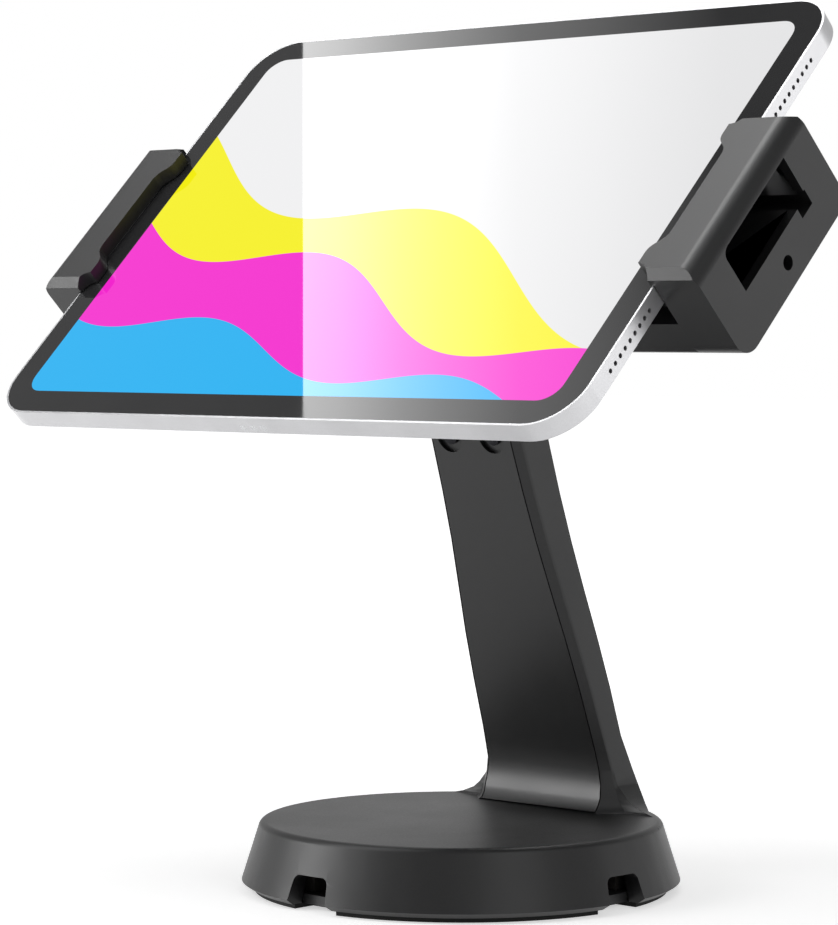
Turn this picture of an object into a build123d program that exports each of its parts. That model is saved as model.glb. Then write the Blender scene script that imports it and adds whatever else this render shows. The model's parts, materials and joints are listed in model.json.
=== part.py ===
"""Tablet kiosk stand: a weighted round base, a leaning arm and a clamping cradle with a tablet.

Millimetres, +Z up, origin at the middle of the base on the table, the screen faces -Y.
The cradle's own frame is the glass plane: u across, v up the glass, s behind the glass.
"""
import os
from math import atan2, cos, radians, sin

from build123d import *

os.makedirs("parts", exist_ok=True)

# Clearances shared by the whole stand
fit_gap = 0.3
run_gap = 0.1
bore_gap = 0.05
overrun = 2.0
full_turn = 360.0
hex_sides = 6

# Round base
foot_height = 1.5
foot_edge_inset = 4.1
foot_slot_depth = 12.7
foot_slot_half_width = 9.0
rim_radius = 70.7
rim_height = 3.2
rim_under_inset = 2.7
base_top_inset = 6.05
base_height = 22.3
base_shoulder = 2.4
base_wall = 3.0
base_edge_wall = 3.8
base_plate_thickness = 3.0
base_plate_edge_gap = 0.8
notch_height = 11.3
notch_foot_half_width = 8.5
notch_sides = 4
notch_top_half_width = 7.0
notch_corner = 2.5
weight_inset = 11.2
weight_channel_half_width = 7.5
weight_channel_depth = 9.0
cable_hole_width = 15.0
cable_hole_depth = 9.0
plate_screw_inset = 28.7
plate_screw_count = 4
plate_screw_recess = 1.8

# Leaning arm, from the base top to the tilt hinge
hinge_height = 177.1
hinge_y = 2.8
arm_foot_inset_y = 22.7
arm_top_half_width = 18.9
arm_foot_half_width = 27.0
arm_foot_flare = 11.0
arm_foot_inset = 11.0
arm_foot_inset_slope_share = 0.63
arm_depth = 17.85
arm_bevel = 2.2
arm_wall = 3.0
cover_thickness = 2.2
cover_ledge = 3.0
cover_gap = 0.45
arm_bridge_height = 9.5
cable_exit_half_width = 6.0
cable_exit_height = 6.0
cover_screw_drop = 10.8
cover_screw_spacing = 18.4
cover_screw_recess_radius = 5.5
cover_screw_recess_depth = 1.4
cover_screw_head_radius = 2.9
cover_screw_head_height = 1.25
cover_screw_length = 9.0
cover_boss_radius = 3.4
cover_boss_depth = 12.5
arm_bolt_spacing = 38.0
arm_bolt_inset_y = 1.0
arm_bolt_radius = 2.0
arm_bolt_head_radius = 3.5
arm_bolt_head_height = 3.0
arm_bolt_recess_depth = 4.0
arm_bolt_tip_height = 38.0
arm_boss_radius = 4.2
arm_boss_top_height = 41.0

# Rows up the arm as shares: height of the rise, middle line, depth, width, bevel, flare, inset
arm_row_shares = (
    (0.000, 0.954, 1.076, 1.740, 3.270, 1.00, 1.00),
    (0.005, 0.969, 1.031, 1.600, 2.950, 0.78, 0.67),
    (0.017, 0.985, 0.975, 1.420, 2.270, 0.46, 0.39),
    (0.030, 0.992, 0.936, 1.320, 1.820, 0.28, 0.27),
    (0.057, 0.998, 0.885, 1.148, 1.360, 0.06, 0.18),
    (0.089, 0.977, 0.790, 1.037, 1.230, 0.02, 0.136),
    (0.127, 0.931, 0.735, 0.988, 1.140, 0.02, 0.136),
    (0.160, 0.890, 0.700, 0.938, 1.090, 0.02, 0.136),
    (0.264, 0.781, 0.740, 0.840, 1.050, 0.02, 0.136),
    (0.367, 0.670, 0.780, 0.680, 1.000, 0.02, 0.136),
    (0.470, 0.560, 0.812, 0.470, 1.000, 0.02, 0.136),
    (0.574, 0.451, 0.850, 0.270, 1.000, 0.02, 0.136),
    (0.677, 0.341, 0.885, 0.148, 1.000, 0.02, 0.136),
    (0.780, 0.231, 0.924, 0.086, 1.000, 0.02, 0.136),
    (1.000, 0.000, 1.000, 0.000, 0.860, 0.02, 0.136),
)
arm_flare_place_share = 0.1
arm_rear_flare_share = 0.477

# Tilt hinge
ear_radius = 9.2
ear_thickness = 6.4
ear_recess_radius = 7.0
ear_recess_depth = 4.0
hinge_cap_thickness = 1.0
axle_radius = 4.0
axle_head_radius = 6.0
axle_head_height = 2.5
washer_radius = 7.5
washer_thickness = 0.4
tongue_radius = 8.5
fork_floor_below_axis = 11.6

# Head: the glass plane leans back, and the tilt axis lies behind it
lean_angle = 45.0
head_reach = 31.7
head_rise = 39.6
clamp_v = -1.0

# Tablet
tablet_width = 249.0
tablet_height = 180.0
tablet_thickness = 7.0
tablet_corner = 16.5
tablet_edge = 0.7
tablet_chamfer = 0.5
tablet_wall = 1.2
glass_thickness = 0.7
display_thickness = 1.5
display_border = 7.5
battery_width = 150.0
battery_height = 120.0
board_width = 36.0
board_height = 130.0
board_thickness = 2.6
board_gap = 1.0
speaker_hole_radius = 0.75
speaker_hole_pitch = 3.0
speaker_hole_count = 9
speaker_group_v = 53.0
speaker_depth = 3.5
port_width = 9.0
port_thickness = 3.2
contact_dot_radius = 1.3
contact_dot_pitch = 4.3
contact_dot_depth = 0.3
contact_dot_count = 3
contact_dot_u = -2.6
contact_dot_s = 4.2
camera_lens_radius = 3.2
camera_bump_radius = 6.0
camera_bump_height = 1.4
camera_u = -104.0
camera_v = 70.0
button_thickness = 1.6
button_reach = 0.6
button_stem = 1.0
power_button_length = 14.0
power_button_v = 66.0
volume_button_length = 9.0
volume_button_u = -98.0
volume_button_pitch = 12.0

# Clamping jaws, one each side
jaw_block_width = 16.5
jaw_front_s = -5.0
jaw_rear_s = 30.8
jaw_end_half = 33.9
jaw_front_round = 6.0
jaw_end_chamfer = 2.7
jaw_rear_round = 7.0
jaw_wall = 3.5
lip_reach = 5.7
lip_recess_reach = 1.1
lip_tip_corner = 4.7
lip_curve_start = 16.0
lip_curve_end = 25.0
window_half_height = 19.75
window_front_s = 0.8
window_rear_s = 15.9
window_corner = 3.0
groove_top_rel = 20.5
groove_width = 6.5
groove_depth = 3.5
jaw_arm_front_s = 16.0
jaw_arm_rear_s = 29.5
jaw_arm_half = 33.0
jaw_arm_end_u = 24.0
jaw_slot_end_u = 75.0
pad_inset = 2.5
pad_width = 22.0
pad_half = 26.0

# Clamp screw along u through the right jaw
clamp_screw_s = 23.8
clamp_screw_radius = 2.5
clamp_head_radius = 4.2
clamp_head_length = 5.0
clamp_head_depth = 22.0
clamp_tip_reach = 3.0
clamp_key_radius = 2.25
clamp_socket_radius = 2.0
clamp_socket_depth = 2.5
clamp_collar_length = 6.0

# Cradle, the sleeve that the jaw arms run in
cradle_half_width = 60.0
cradle_wall = 2.4
cradle_rail = 6.2
cradle_split_s = 22.0
cradle_corner = 6.0
cradle_screw_u = 46.0
nut_block_inner_u = 44.0
nut_block_length = 12.0
nut_block_half = 8.0
nut_block_front_s = 17.0
rear_screw_us = (-50.0, -34.0)
rear_screw_rel = 21.0
nut_screw_rel = 5.6

# Turntable between the cradle and the yoke
boss_radius = 14.0
ring_outer_radius = 29.0
ring_thickness = 3.6
yoke_plate_radius = 30.0
yoke_plate_thickness = 4.0
flange_radius = 19.0
flange_thickness = 2.2
flange_screw_reach = 9.0
flange_screw_count = 4

# M3 pan head screw, used all over
m3_radius = 1.5
m3_head_radius = 2.5
m3_head_height = 1.6
m3_length = 10.0

# Worked out: frames of the head and of the hinge
lean = radians(lean_angle)
across = Vector(1, 0, 0)
upward = Vector(0, sin(lean), cos(lean))
outward = Vector(0, -cos(lean), sin(lean))
glass_centre = Vector(0, hinge_y - head_reach, hinge_height + head_rise)
jaw_outer_u = tablet_width / 2 + jaw_block_width
lip_tip_u = tablet_width / 2 - lip_reach
lip_recess_u = tablet_width / 2 - lip_recess_reach
pad_outer_u = tablet_width / 2 - pad_inset
pad_inner_u = pad_outer_u - pad_width
clamp_head_u = jaw_outer_u - clamp_head_depth
clamp_screw_length = clamp_head_u - nut_block_inner_u + clamp_tip_reach
to_axis = Vector(0, hinge_y, hinge_height) - glass_centre
axis_v = to_axis.dot(upward)
axis_s = -to_axis.dot(outward)


def behind(s):
    """Plane parallel to the glass, s behind it, its x is u and its y is v."""
    return Plane(origin=glass_centre - outward * s, x_dir=across, z_dir=outward)


def from_side(u):
    """Plane square to u, its x is v and its y is minus s."""
    return Plane(origin=glass_centre + across * u, x_dir=upward, z_dir=across)


def from_end(v):
    """Plane square to v, its x is u and its y is s."""
    return Plane(origin=glass_centre + upward * v, x_dir=across, z_dir=upward)


def hinge_plane(x):
    """Plane square to X at the tilt axis."""
    return Plane(origin=(x, hinge_y, hinge_height), x_dir=(0, 1, 0), z_dir=(1, 0, 0))


def solid_disc(seat, radius, height):
    """Adds a round solid on a seat plane to the part being built."""
    with BuildSketch(seat) as outline:
        Circle(radius)
    extrude(outline.sketch, amount=height)


def pan_screw(seat, radius, head_radius, head_height, length):
    """Adds a screw whose head stands on the seat plane."""
    solid_disc(seat, head_radius, head_height)
    solid_disc(seat, radius, -length)


def drill(seat, radius, depth):
    """Cuts a round hole below the seat plane."""
    with BuildSketch(seat) as outline:
        Circle(radius)
    extrude(outline.sketch, amount=-depth, mode=Mode.SUBTRACT)


def write(piece, name):
    """Labels a finished piece and writes its file."""
    piece.part.label = name
    export_step(piece.part, "parts/" + name + ".step")


# Base: revolved shell, notched for cables at the four sides
foot_outer_radius = rim_radius - foot_edge_inset
foot_slot_inner_radius = rim_radius - foot_slot_depth
rim_under_radius = rim_radius - rim_under_inset
base_top_radius = rim_radius - base_top_inset
weight_radius = rim_radius - weight_inset
plate_screw_reach = rim_radius - plate_screw_inset
arm_foot_y = rim_radius - arm_foot_inset_y
arm_bolt_y = arm_foot_y - arm_bolt_inset_y
base_inner_top = base_height - base_wall
plate_top = foot_height + base_plate_thickness
shell_inner_radius = rim_under_radius - base_edge_wall
weight_bottom = plate_top + run_gap
screw_turn = full_turn / plate_screw_count / 2

with BuildPart() as base_shell:
    with BuildSketch(Plane.XZ):
        with BuildLine():
            Polyline(
                (0, base_inner_top),
                (0, base_height),
                (base_top_radius, base_height),
                (rim_radius, rim_height),
                (rim_under_radius, foot_height),
                (shell_inner_radius, foot_height),
                (base_top_radius - base_wall, base_inner_top),
                close=True,
            )
        make_face()
    revolve(axis=Axis.Z)
    fillet(base_shell.edges().filter_by(GeomType.CIRCLE).group_by(Axis.Z)[-1], radius=base_shoulder)
    for side in range(notch_sides):
        turn = Rotation(0, 0, side * full_turn / notch_sides)
        with BuildSketch(Plane.XZ) as notch:
            with BuildLine():
                Polyline(
                    (-notch_foot_half_width, -overrun),
                    (-notch_foot_half_width, foot_height),
                    (-notch_top_half_width, notch_height),
                    (notch_top_half_width, notch_height),
                    (notch_foot_half_width, foot_height),
                    (notch_foot_half_width, -overrun),
                    close=True,
                )
            make_face()
            fillet(notch.vertices().group_by(Axis.Y)[-1], radius=notch_corner)
        extrude(turn * notch.sketch, amount=rim_radius + overrun, mode=Mode.SUBTRACT)
    with BuildSketch(Plane.XY.offset(base_inner_top - overrun)):
        with Locations((0, arm_bolt_y)):
            Rectangle(cable_hole_width, cable_hole_depth)
        with Locations((-arm_bolt_spacing / 2, arm_bolt_y), (arm_bolt_spacing / 2, arm_bolt_y)):
            Circle(arm_bolt_radius + bore_gap)
    extrude(amount=base_wall + 2 * overrun, mode=Mode.SUBTRACT)
write(base_shell, "base_shell")

with BuildPart() as base_weight:
    with BuildSketch(Plane.XY.offset(weight_bottom)):
        Circle(weight_radius)
    extrude(amount=base_inner_top - weight_bottom)
    with BuildSketch(Plane.XY.offset(weight_bottom)):
        Rectangle(2 * rim_radius, 2 * weight_channel_half_width)
        Rectangle(2 * weight_channel_half_width, 2 * rim_radius)
    extrude(amount=weight_channel_depth, mode=Mode.SUBTRACT)
    with BuildSketch(Plane.XY.offset(weight_bottom)):
        with Locations((0, arm_bolt_y)):
            Rectangle(cable_hole_width, cable_hole_depth)
        with Locations((-arm_bolt_spacing / 2, arm_bolt_y), (arm_bolt_spacing / 2, arm_bolt_y)):
            Circle(arm_bolt_radius + bore_gap)
    extrude(amount=base_inner_top, mode=Mode.SUBTRACT)
    with BuildSketch(Plane.XY.offset(weight_bottom)):
        with Locations((-arm_bolt_spacing / 2, arm_bolt_y), (arm_bolt_spacing / 2, arm_bolt_y)):
            Circle(arm_bolt_head_radius + bore_gap)
    extrude(amount=arm_bolt_recess_depth, mode=Mode.SUBTRACT)
    with BuildSketch(Plane.XY.offset(weight_bottom)):
        with PolarLocations(plate_screw_reach, plate_screw_count, start_angle=screw_turn):
            Circle(m3_radius + bore_gap)
    extrude(amount=m3_length, mode=Mode.SUBTRACT)
write(base_weight, "base_weight")

with BuildPart() as base_plate:
    with BuildSketch(Plane.XY.offset(foot_height)):
        Circle(shell_inner_radius - base_plate_edge_gap)
        with PolarLocations(plate_screw_reach, plate_screw_count, start_angle=screw_turn):
            Circle(m3_radius + bore_gap, mode=Mode.SUBTRACT)
    extrude(amount=base_plate_thickness)
    with BuildSketch(Plane.XY.offset(foot_height)):
        with PolarLocations(plate_screw_reach, plate_screw_count, start_angle=screw_turn):
            Circle(m3_head_radius + run_gap)
    extrude(amount=plate_screw_recess, mode=Mode.SUBTRACT)
write(base_plate, "base_plate")

with BuildPart() as foot_mat:
    with BuildSketch(Plane.XY):
        Circle(foot_outer_radius)
        with PolarLocations((foot_slot_inner_radius + rim_radius) / 2, notch_sides):
            Rectangle(rim_radius - foot_slot_inner_radius, 2 * foot_slot_half_width, mode=Mode.SUBTRACT)
    extrude(amount=foot_height)
write(foot_mat, "foot_mat")

with BuildPart() as base_screws:
    for place in PolarLocations(plate_screw_reach, plate_screw_count, start_angle=screw_turn):
        spot = place.position
        seat = Plane(origin=(spot.X, spot.Y, foot_height + plate_screw_recess), x_dir=(1, 0, 0),
                     z_dir=(0, 0, -1))
        pan_screw(seat, m3_radius, m3_head_radius, m3_head_height, m3_length)
write(base_screws, "base_screws")

with BuildPart() as arm_bolts:
    for x in (-arm_bolt_spacing / 2, arm_bolt_spacing / 2):
        seat_height = weight_bottom + arm_bolt_recess_depth
        seat = Plane(origin=(x, arm_bolt_y, seat_height), x_dir=(1, 0, 0), z_dir=(0, 0, -1))
        pan_screw(seat, arm_bolt_radius, arm_bolt_head_radius, arm_bolt_head_height,
                  arm_bolt_tip_height - seat_height)
write(arm_bolts, "arm_bolts")

# Arm: a ruled loft through rows of ten corners
arm_rise = hinge_height - base_height
cover_top_height = hinge_height - fork_floor_below_axis - arm_bridge_height
cover_screw_height = cover_top_height - cover_screw_drop


def arm_row(height):
    """Front y, rear y, half width, bevel, flare and inset of the arm at a height."""
    share = (height - base_height) / arm_rise
    for low, high in zip(arm_row_shares, arm_row_shares[1:]):
        if share <= high[0] or high is arm_row_shares[-1]:
            break
    part_way = (share - low[0]) / (high[0] - low[0])
    middle, depth, width, bevel, flare, inset = (
        a + (b - a) * part_way for a, b in zip(low[1:], high[1:])
    )
    middle_y = hinge_y + middle * (arm_foot_y - hinge_y)
    half_depth = depth * arm_depth / 2
    half_width = arm_top_half_width + width * (arm_foot_half_width - arm_top_half_width)
    return (middle_y - half_depth, middle_y + half_depth, half_width, bevel * arm_bevel,
            flare * arm_foot_flare, inset * arm_foot_inset)


def arm_heights(bottom, top):
    """Heights of the rows between two heights, with both ends."""
    rows = [base_height + row[0] * arm_rise for row in arm_row_shares]
    return [bottom] + [h for h in rows if bottom < h < top] + [top]


def arm_loft(bottom, top, corners, mode):
    """Lofts the right half's corners, mirrored, through the rows."""
    faces = []
    for height in arm_heights(bottom, top):
        right = corners(height)
        left = [(-x, y) for x, y in reversed(right)]
        with BuildSketch(Plane.XY.offset(height)) as row:
            with BuildLine():
                Polyline(*right, *left, close=True)
            make_face()
        faces.append(row.sketch)
    loft(faces, ruled=True, mode=mode)


def outer_corners(height):
    front, rear, half, bevel, flare, inset = arm_row(height)
    bevel_y = front + bevel
    rear_flank = (half + flare * arm_rear_flare_share, rear - inset * arm_foot_inset_slope_share)
    flare_y = bevel_y + (rear_flank[1] - bevel_y) * arm_flare_place_share
    return [(half - bevel, front), (half, bevel_y), (half + flare, flare_y), rear_flank,
            (rear_flank[0] - inset, rear)]


def pocket_corners(height):
    front, rear, half, bevel, flare, inset = arm_row(height)
    side = half - bevel
    return [(side, front - overrun), (side, front + cover_thickness)]


def cover_corners(height):
    front, rear, half, bevel, flare, inset = arm_row(height)
    side = half - bevel - cover_gap
    return [(side, front), (side, front + cover_thickness)]


def channel_corners(height):
    front, rear, half, bevel, flare, inset = arm_row(height)
    side = half - bevel - cover_ledge
    return [(side, front + cover_thickness - run_gap), (side, rear - arm_wall)]


def cover_plane(x):
    """Plane on the cover's face at a screw, its z points out of the face."""
    low, high = arm_row(cover_screw_height)[0], arm_row(cover_top_height)[0]
    face_angle = atan2(low - high, cover_screw_drop)
    face_normal = (0, -cos(face_angle), -sin(face_angle))
    return Plane(origin=(x, low, cover_screw_height), x_dir=(1, 0, 0), z_dir=face_normal)


ear_inner = arm_top_half_width - ear_thickness
cover_screw_xs = (-cover_screw_spacing / 2, cover_screw_spacing / 2)

with BuildPart() as arm_shell:
    arm_loft(base_height, hinge_height, outer_corners, Mode.ADD)
    with BuildSketch(hinge_plane(-arm_top_half_width)):
        Circle(ear_radius)
    extrude(amount=2 * arm_top_half_width)
    arm_loft(base_height - overrun, cover_top_height, pocket_corners, Mode.SUBTRACT)
    arm_loft(base_height - overrun, cover_top_height, channel_corners, Mode.SUBTRACT)
    for x in cover_screw_xs:
        solid_disc(cover_plane(x).offset(-cover_thickness), cover_boss_radius, -cover_boss_depth)
        drill(cover_plane(x), m3_radius + bore_gap, cover_screw_length + cover_thickness)
    for x in (-arm_bolt_spacing / 2, arm_bolt_spacing / 2):
        seat = Plane(origin=(x, arm_bolt_y, base_height), x_dir=(1, 0, 0), z_dir=(0, 0, 1))
        solid_disc(seat, arm_boss_radius, arm_boss_top_height - base_height)
        drill(seat.offset(arm_bolt_tip_height - base_height + run_gap), arm_bolt_radius + bore_gap,
              arm_bolt_tip_height)
    with BuildSketch(hinge_plane(-ear_inner)):
        with Locations((0, ear_radius - fork_floor_below_axis / 2)):
            Rectangle(2 * (arm_depth + ear_radius), fork_floor_below_axis + 2 * ear_radius)
    extrude(amount=2 * ear_inner, mode=Mode.SUBTRACT)
    drill(hinge_plane(arm_top_half_width), axle_radius + bore_gap, 2 * arm_top_half_width)
    drill(hinge_plane(arm_top_half_width), ear_recess_radius, ear_recess_depth)
    drill(hinge_plane(-arm_top_half_width + ear_recess_depth), ear_recess_radius, ear_recess_depth)
write(arm_shell, "arm_shell")

with BuildPart() as arm_front_cover:
    arm_loft(base_height + cover_gap, cover_top_height - cover_gap, cover_corners, Mode.ADD)
    with BuildSketch(Plane.XZ.offset(-arm_foot_y)) as exit_notch:
        with Locations((0, cover_top_height - cable_exit_height / 2)):
            Rectangle(2 * cable_exit_half_width, cable_exit_height)
    extrude(exit_notch.sketch, amount=2 * arm_foot_y, mode=Mode.SUBTRACT)
    for x in cover_screw_xs:
        drill(cover_plane(x).offset(overrun), cover_screw_recess_radius,
              cover_screw_recess_depth + overrun)
        drill(cover_plane(x), m3_radius + bore_gap, 2 * cover_thickness)
write(arm_front_cover, "arm_front_cover")

with BuildPart() as cover_screws:
    for x in cover_screw_xs:
        pan_screw(cover_plane(x).offset(-cover_screw_recess_depth), m3_radius, cover_screw_head_radius,
                  cover_screw_head_height, cover_screw_length)
write(cover_screws, "cover_screws")

# Tilt hinge: axle, nut, washers and caps, all along X
ear_web_x = arm_top_half_width - ear_recess_depth
washer_inner_x = ear_inner - washer_thickness
tongue_half = washer_inner_x - run_gap

with BuildPart() as tilt_axle:
    solid_disc(hinge_plane(ear_web_x), axle_head_radius, axle_head_height)
    solid_disc(hinge_plane(ear_web_x), axle_radius, -(ear_web_x + arm_top_half_width - hinge_cap_thickness
                                                      - run_gap))
write(tilt_axle, "tilt_axle")

with BuildPart() as tilt_nut:
    with BuildSketch(hinge_plane(-ear_web_x)):
        RegularPolygon(axle_head_radius, hex_sides)
        Circle(axle_radius + bore_gap, mode=Mode.SUBTRACT)
    extrude(amount=-axle_head_height)
write(tilt_nut, "tilt_nut")

with BuildPart() as tilt_washers:
    for x in (washer_inner_x, -ear_inner):
        with BuildSketch(hinge_plane(x)) as ring:
            Circle(washer_radius)
            Circle(axle_radius + bore_gap, mode=Mode.SUBTRACT)
        extrude(ring.sketch, amount=washer_thickness)
write(tilt_washers, "tilt_washers")

with BuildPart() as hinge_caps:
    solid_disc(hinge_plane(arm_top_half_width), ear_recess_radius - bore_gap, -hinge_cap_thickness)
    solid_disc(hinge_plane(-arm_top_half_width), ear_recess_radius - bore_gap, hinge_cap_thickness)
write(hinge_caps, "hinge_caps")

# Turntable: stack behind the cradle, centred on the clamp's middle
cradle_front_s = jaw_arm_front_s - fit_gap - cradle_wall
cradle_back_inner_s = jaw_arm_rear_s + fit_gap
cradle_back_s = cradle_back_inner_s + cradle_wall
ring_front_s = cradle_back_s + run_gap
yoke_front_s = ring_front_s + ring_thickness
yoke_rear_s = yoke_front_s + yoke_plate_thickness
flange_rear_s = cradle_back_inner_s - run_gap
flange_front_s = flange_rear_s - flange_thickness


def turntable(s):
    """Plane at depth s, centred on the turntable's axis."""
    return Plane(origin=behind(s).origin + upward * clamp_v, x_dir=across, z_dir=outward)


with BuildPart() as tilt_yoke:
    solid_disc(turntable(yoke_rear_s), yoke_plate_radius, yoke_plate_thickness)
    solid_disc(turntable(yoke_front_s), boss_radius, yoke_front_s - flange_rear_s)
    with BuildSketch(from_side(-tongue_half)) as tongue:
        with Locations((axis_v, -axis_s)):
            Circle(tongue_radius)
        with Locations((axis_v, -(axis_s + yoke_front_s) / 2)):
            Rectangle(2 * tongue_radius, axis_s - yoke_front_s)
    extrude(tongue.sketch, amount=2 * tongue_half)
    drill(hinge_plane(arm_top_half_width), axle_radius + bore_gap, 2 * arm_top_half_width)
    with BuildSketch(turntable(flange_rear_s)) as flange_holes:
        with PolarLocations(flange_screw_reach, flange_screw_count):
            Circle(m3_radius + bore_gap)
    extrude(flange_holes.sketch, amount=-m3_length, mode=Mode.SUBTRACT)
write(tilt_yoke, "tilt_yoke")

with BuildPart() as turntable_ring:
    with BuildSketch(turntable(yoke_front_s)):
        Circle(ring_outer_radius)
        Circle(boss_radius + run_gap, mode=Mode.SUBTRACT)
    extrude(amount=ring_thickness)
write(turntable_ring, "turntable_ring")

with BuildPart() as turntable_flange:
    with BuildSketch(turntable(flange_rear_s)):
        Circle(flange_radius)
        with PolarLocations(flange_screw_reach, flange_screw_count):
            Circle(m3_radius + bore_gap, mode=Mode.SUBTRACT)
    extrude(amount=flange_thickness)
write(turntable_flange, "turntable_flange")

with BuildPart() as flange_screws:
    for place in PolarLocations(flange_screw_reach, flange_screw_count):
        spot = turntable(flange_front_s).from_local_coords(place.position)
        seat = Plane(origin=spot, x_dir=across, z_dir=outward)
        pan_screw(seat, m3_radius, m3_head_radius, m3_head_height, m3_length)
write(flange_screws, "flange_screws")

# Cradle: two channel shells that close round the jaw arms
cradle_half = jaw_arm_half + fit_gap + cradle_rail
cradle_screw_vs = (clamp_v - cradle_half + cradle_rail / 2, clamp_v + cradle_half - cradle_rail / 2)
rear_screw_vs = (clamp_v - rear_screw_rel, clamp_v + rear_screw_rel)
nut_screw_u = nut_block_inner_u + nut_block_length / 2
nut_screw_vs = (clamp_v - nut_screw_rel, clamp_v + nut_screw_rel)


def cradle_shell(rear_s, front_s, cavity_rear_s, cavity_front_s):
    """Adds a rounded block from rear to front and cuts the arms' channel along u."""
    with BuildSketch(turntable(rear_s)) as outline:
        RectangleRounded(2 * cradle_half_width, 2 * cradle_half, cradle_corner)
    extrude(outline.sketch, amount=rear_s - front_s)
    with BuildSketch(turntable(cavity_rear_s)) as channel:
        Rectangle(2 * (cradle_half_width + overrun), 2 * (jaw_arm_half + fit_gap))
    extrude(channel.sketch, amount=cavity_rear_s - cavity_front_s, mode=Mode.SUBTRACT)


with BuildPart() as cradle_front:
    cradle_shell(cradle_split_s, cradle_front_s, cradle_split_s, cradle_front_s + cradle_wall)
    with BuildSketch(behind(cradle_split_s)) as holes:
        with Locations(*[(u, v) for u in (-cradle_screw_u, cradle_screw_u) for v in cradle_screw_vs]):
            Circle(m3_radius + bore_gap)
    extrude(holes.sketch, amount=m3_length - (cradle_back_s - cradle_split_s) + m3_head_height
            + cradle_wall, mode=Mode.SUBTRACT)
write(cradle_front, "cradle_front")

with BuildPart() as cradle_back:
    cradle_shell(cradle_back_s, cradle_split_s, cradle_back_inner_s, cradle_split_s)
    with BuildSketch(turntable(cradle_back_s)) as pivot_hole:
        Circle(boss_radius + run_gap)
    extrude(pivot_hole.sketch, amount=cradle_wall, mode=Mode.SUBTRACT)
    with BuildSketch(behind(cradle_back_s)) as holes:
        with Locations(*[(u, v) for u in (-cradle_screw_u, cradle_screw_u) for v in cradle_screw_vs]):
            Circle(m3_radius + bore_gap)
        with Locations(*[(u, v) for u in rear_screw_us for v in rear_screw_vs]):
            Circle(m3_radius + bore_gap)
        with Locations(*[(nut_screw_u, v) for v in nut_screw_vs]):
            Circle(m3_radius + bore_gap)
    extrude(holes.sketch, amount=cradle_back_s - cradle_split_s, mode=Mode.SUBTRACT)
write(cradle_back, "cradle_back")


def rear_screws(places):
    """Adds pan screws whose heads stand on the cradle's back."""
    for u, v in places:
        seat = Plane(origin=behind(cradle_back_s).from_local_coords((u, v, 0)), x_dir=across,
                     z_dir=-outward)
        pan_screw(seat, m3_radius, m3_head_radius, m3_head_height, m3_length)


with BuildPart() as cradle_screws:
    rear_screws([(u, v) for u in (-cradle_screw_u, cradle_screw_u) for v in cradle_screw_vs])
write(cradle_screws, "cradle_screws")

with BuildPart() as left_jaw_screws:
    rear_screws([(u, v) for u in rear_screw_us for v in rear_screw_vs])
write(left_jaw_screws, "left_jaw_screws")

with BuildPart() as nut_block_screws:
    rear_screws([(nut_screw_u, v) for v in nut_screw_vs])
write(nut_block_screws, "nut_block_screws")


def along_u(u):
    """Plane square to u on the clamp screw's axis, its z points out of the right jaw."""
    return Plane(origin=behind(clamp_screw_s).from_local_coords((u, clamp_v, 0)), x_dir=upward,
                 z_dir=across)


with BuildPart() as clamp_nut_block:
    with BuildSketch(turntable(cradle_back_inner_s)) as block:
        with Locations((nut_screw_u, 0)):
            Rectangle(nut_block_length, 2 * nut_block_half)
    extrude(block.sketch, amount=cradle_back_inner_s - nut_block_front_s)
    drill(along_u(nut_block_inner_u + nut_block_length), clamp_screw_radius + bore_gap, nut_block_length)
    with BuildSketch(behind(cradle_back_inner_s)) as holes:
        with Locations(*[(nut_screw_u, v) for v in nut_screw_vs]):
            Circle(m3_radius + bore_gap)
    extrude(holes.sketch, amount=m3_length - cradle_wall + run_gap, mode=Mode.SUBTRACT)
write(clamp_nut_block, "clamp_nut_block")

# Jaws: lip in front, side block, arm behind the tablet
block_inner_u = tablet_width / 2 + fit_gap
lip_rear_s = -fit_gap
pad_front_s = tablet_thickness + fit_gap


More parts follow.
